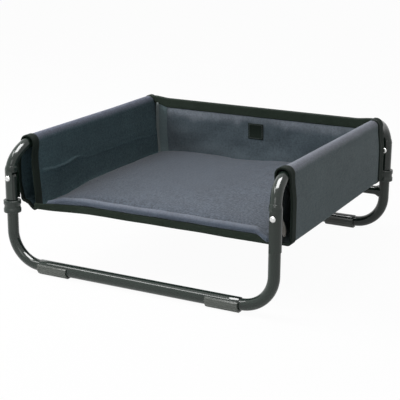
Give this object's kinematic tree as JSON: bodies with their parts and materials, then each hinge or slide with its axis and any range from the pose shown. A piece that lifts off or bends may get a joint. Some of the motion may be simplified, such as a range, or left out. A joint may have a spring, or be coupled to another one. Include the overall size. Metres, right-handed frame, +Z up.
{
  "type": "folding dog bed",
  "caption": "Raised square dog bed: tube legs with base bars, padded cloth seat, cloth side walls on fold-down rails and a low back wall.",
  "frame": {"origin": "on the floor under the middle of the bed", "axes": "+X to the bed's right side, -Y to the open front that the dog steps over, +Z up"},
  "size_m": [0.594, 0.614, 0.2631],
  "materials": {
    "painted_steel": "dark grey-green powder coat, glossy",
    "bright_rivet": "bright polished rivet",
    "nylon": "black nylon",
    "collar_plastic": "dark grey moulded plastic, satin",
    "foot_plastic": "dark grey moulded plastic, matte and ribbed",
    "blue_grey_cloth": "blue-grey coarse plain-weave cloth, padded",
    "dark_webbing": "very dark green-black webbing and binding tape"
  },
  "bodies": {
    "frame": {"back_sewn_patch": "dark_webbing", "back_top_webbing": "dark_webbing", "back_wall": "blue_grey_cloth", "front_base_tube": "painted_steel", "front_left_foot": "foot_plastic", "front_left_leg_tube": "painted_steel", "front_left_pivot_plug": "nylon", "front_left_pivot_rivet": "bright_rivet", "front_right_foot": "foot_plastic", "front_right_leg_tube": "painted_steel", "front_right_pivot_plug": "nylon", "front_right_pivot_rivet": "bright_rivet", "rear_base_tube": "painted_steel", "rear_cross_tube": "painted_steel", "rear_left_foot": "foot_plastic", "rear_left_leg_tube": "painted_steel", "rear_left_pivot_plug": "nylon", "rear_left_pivot_rivet": "bright_rivet", "rear_right_foot": "foot_plastic", "rear_right_leg_tube": "painted_steel", "rear_right_pivot_plug": "nylon", "rear_right_pivot_rivet": "bright_rivet", "seat_front_tape": "dark_webbing", "seat_pad": "blue_grey_cloth"},
    "left_side": {"left_front_hinge_sleeve": "painted_steel", "left_rear_hinge_sleeve": "painted_steel", "left_side_rail": "painted_steel", "left_wall_front_tape": "dark_webbing", "left_wall_loop": "blue_grey_cloth", "left_wall_rear_tape": "dark_webbing"},
    "left_lock": {"left_lock_collar": "collar_plastic"},
    "right_side": {"right_front_hinge_sleeve": "painted_steel", "right_rear_hinge_sleeve": "painted_steel", "right_side_rail": "painted_steel", "right_wall_front_tape": "dark_webbing", "right_wall_loop": "blue_grey_cloth", "right_wall_rear_tape": "dark_webbing"},
    "right_lock": {"right_lock_collar": "collar_plastic"}
  },
  "joints": [
    {"name": "left_fold", "type": "hinge", "parent": "frame", "child": "left_side", "pos_m": [-0.28, 0, 0.1855], "axis": [0, 1, 0], "range_deg": [0, 90], "deforming": ["back_wall", "back_top_webbing", "back_sewn_patch"]},
    {"name": "right_fold", "type": "hinge", "parent": "frame", "child": "right_side", "pos_m": [0.28, 0, 0.1855], "axis": [0, -1, 0], "range_deg": [0, 90]},
    {"name": "left_lock", "type": "slide", "parent": "frame", "child": "left_lock", "axis": [0, 0, -1], "range_m": [0, 0.036]},
    {"name": "right_lock", "type": "slide", "parent": "frame", "child": "right_lock", "axis": [0, 0, -1], "range_m": [0, 0.01]}
  ]
}
